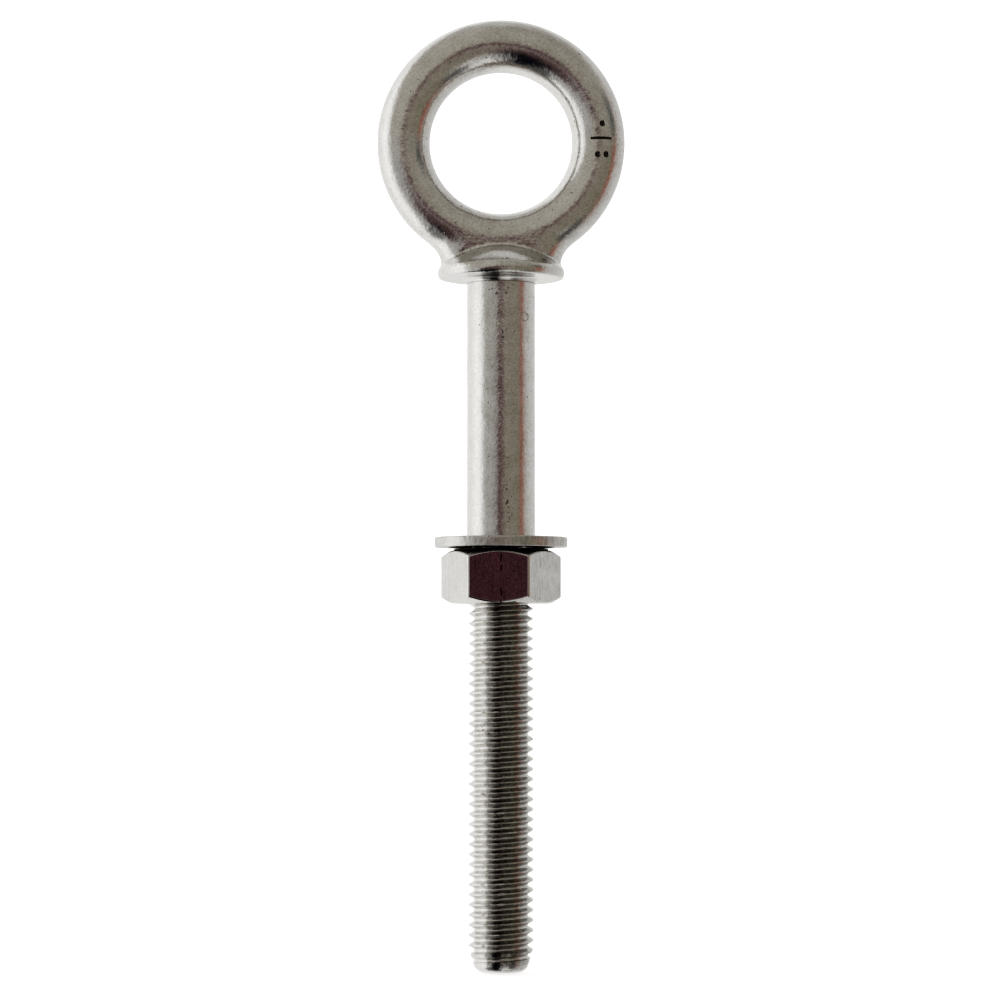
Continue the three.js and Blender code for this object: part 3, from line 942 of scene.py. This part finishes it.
def studio_world():
    """A light tent seen from inside. Azimuth 0 faces the bolt's front and grows to its right.
    The tent is bright at the sides and open in front, where the floor and a dark shape show low down."""
    world = bpy.data.worlds.new("studio")
    bpy.context.scene.world = world
    world.use_nodes = True
    tree = world.node_tree
    tree.nodes.clear()
    direction = node(tree, "ShaderNodeTexCoord").outputs["Generated"]
    x, y, z = node(tree, "ShaderNodeSeparateXYZ", {0: direction}).outputs
    to_degrees = math.degrees(1)
    azimuth = times(tree, maths(tree, "ARCTAN2", x, times(tree, y, -1.0)), to_degrees)
    elevation = times(tree, maths(tree, "ARCSINE", z), to_degrees)

    light = around(tree, azimuth, TENT_TONES)

    # the boards above the opening
    above = ranged(tree, elevation, 2.0, 12.0)
    left_board = times(tree, between(tree, azimuth, -60.0, -2.0, 8.0), above)
    light = blended(tree, left_board, light, mirrored(150, 146, 138))
    right_board = times(tree, between(tree, azimuth, -2.0, 82.0, 8.0), above)
    light = blended(tree, right_board, light, mirrored(127, 122, 112))

    def patch(sides, heights, soft_sides, soft_heights):
        """1 inside a patch of the tent, between two azimuths and two elevations."""
        across = between(tree, azimuth, *sides, soft_sides)
        return times(tree, across, between(tree, elevation, *heights, soft_heights))

    gap_in_board = patch((57.0, 79.0), (13.0, 31.0), 8.0, 8.0)
    light = blended(tree, gap_in_board, light, mirrored(60, 65, 65))
    rust_edge = patch((68.0, 79.0), (-22.0, 9.0), 6.0, 5.0)
    light = blended(tree, rust_edge, light, mirrored(128, 78, 66))

    # the roof, whose edge rises at the sides and stays high at the back
    beyond_side = maths(tree, "MAXIMUM", maths(tree, "SUBTRACT", maths(tree, "ABSOLUTE", azimuth), 70.0), 0.0)
    rise = times(tree, maths(tree, "MINIMUM", beyond_side, 42.0), 0.6)
    above_edge = maths(tree, "SUBTRACT", elevation, rise)
    roof = around(tree, azimuth, ROOF_TONES)
    light = blended(tree, ranged(tree, above_edge, 18.0, 35.0), light, roof)

    # the floor, dark to the left and bright to the right, where something dark stands at its edge
    floor = around(tree, azimuth, FLOOR_TONES)
    below_edge = maths(tree, "MULTIPLY_ADD", beyond_side, 0.3, elevation)
    light = blended(tree, ranged(tree, below_edge, -49.0, -29.0, 1.0, 0.0), light, floor)
    light = blended(tree, patch((44.0, 74.0), (-58.0, -32.0), 10.0, 8.0), light, grey(68))
    light = blended(tree, patch((5.0, 85.0), (-90.0, -60.0), 14.0, 12.0), light, grey(204))

    # the dark shape, which leans to the left as it comes nearer
    depth = maths(tree, "MAXIMUM", maths(tree, "SUBTRACT", -5.0, elevation), 0.0)
    lean = times(tree, maths(tree, "MAXIMUM", maths(tree, "SUBTRACT", -38.0, elevation), 0.0), 0.65)
    aside = maths(tree, "ADD", maths(tree, "ADD", azimuth, lean), 20.0)
    half_width = maths(tree, "MINIMUM", maths(tree, "MULTIPLY_ADD", depth, 0.9, 7.0), 20.0)
    share = maths(tree, "DIVIDE", maths(tree, "ABSOLUTE", aside), half_width)
    width = ranged(tree, share, 0.72, 1.28, 1.0, 0.0)
    height = ranged(tree, elevation, -10.0, 4.0, 1.0, 0.0)
    upwards = ranged(tree, elevation, -38.0, -18.0)
    shade = blended(tree, upwards, mirrored(4, 4, 7), mirrored(62, 44, 43))
    light = blended(tree, times(tree, width, height), light, shade)

    # its top, a narrow dark red strip with a blue edge
    light = blended(tree, patch((-10.5, -3.2), (-4.0, 7.0), 1.5, 3.0), light, mirrored(44, 17, 25))
    light = blended(tree, patch((-3.2, -1.2), (-4.0, 7.0), 1.0, 3.0), light, mirrored(20, 14, 30))
    light = blended(tree, patch((-1.2, 9.0), (1.0, 7.0), 2.5, 2.0), light, mirrored(58, 30, 32))

    seen = node(tree, "ShaderNodeLightPath").outputs["Is Camera Ray"]
    colour = blended(tree, seen, light, (1.0, 1.0, 1.0))
    background = node(tree, "ShaderNodeBackground", {"Color": colour, "Strength": WORLD_STRENGTH})
    node(tree, "ShaderNodeOutputWorld", {"Surface": background.outputs[0]})


FLOOR_DROP = 0.2
FLOOR_HALF = 6.0


def studio_floor():
    """A plain pale floor just under the bolt's tip. The steel mirrors the tent instead of it."""
    height = (BOLT_END_Z - FLOOR_DROP) * MM
    corners = [(-1, -1), (1, -1), (1, 1), (-1, 1)]
    mesh = bpy.data.meshes.new("studio_floor")
    mesh.from_pydata([(FLOOR_HALF * x, FLOOR_HALF * y, height) for x, y in corners], [], [(0, 1, 2, 3)])
    floor = bpy.data.objects.new("studio_floor", mesh)
    bpy.context.scene.collection.objects.link(floor)
    material = bpy.data.materials.new("pale_floor")
    material.use_nodes = True
    shader = material.node_tree.nodes["Principled BSDF"]
    shader.inputs["Base Color"].default_value = (0.8, 0.8, 0.8, 1)
    shader.inputs["Roughness"].default_value = 1.0
    shader.inputs["Emission Color"].default_value = (1, 1, 1, 1)
    shader.inputs["Emission Strength"].default_value = 1.1
    mesh.materials.append(material)
    floor.visible_glossy = False


# The camera, in front and below the middle of the bolt, looking slightly up at it
CAMERA_DISTANCE = 620.0
CAMERA_Z = -71.5
VIEW_CENTRE = (-0.2, -43.6)
VIEW_WIDTH = 196.0
SENSOR = 36.0


def studio_camera():
    data = bpy.data.cameras.new("studio_camera")
    data.sensor_width = SENSOR
    rise = VIEW_CENTRE[1] - CAMERA_Z
    data.lens = SENSOR * math.hypot(CAMERA_DISTANCE, rise) / VIEW_WIDTH
    data.clip_start, data.clip_end = 0.01, 50.0
    camera = bpy.data.objects.new("studio_camera", data)
    camera.location = (VIEW_CENTRE[0] * MM, -CAMERA_DISTANCE * MM, CAMERA_Z * MM)
    camera.rotation_euler = (math.pi / 2 + math.atan2(rise, CAMERA_DISTANCE), 0, 0)
    bpy.context.scene.collection.objects.link(camera)
    bpy.context.scene.camera = camera


def studio_tones():
    """The picture's tone curve."""
    view = bpy.context.scene.view_settings
    view.view_transform = "Standard"
    view.use_curve_mapping = True
    mapping = view.curve_mapping
    brightest = TONE_CURVE[-1][0]
    mapping.white_level = (brightest,) * 3
    points = mapping.curves[3].points
    while len(points) < len(TONE_CURVE):
        points.new(0.5, 0.5)
    for point, (scene, shown) in zip(points, TONE_CURVE):
        point.location = (scene / brightest, shown)
        point.handle_type = "AUTO_CLAMPED"
    mapping.update()


# The scene ----------------------------------------------------------------------------------------

def finish_piece(piece, material, body, cad_node):
    piece.data.materials.clear()
    piece.data.materials.append(material)
    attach(piece, body)
    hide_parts(cad_node)


studio_camera()
finish_piece(forged_piece(), forged_steel(), "bolt", "forged_eye_bolt")
finish_piece(washer_piece(), washer_steel(), "washer", "flat_washer")
finish_piece(nut_piece(), nut_steel(), "nut", "hex_nut")
studio_world()
studio_floor()
studio_tones()
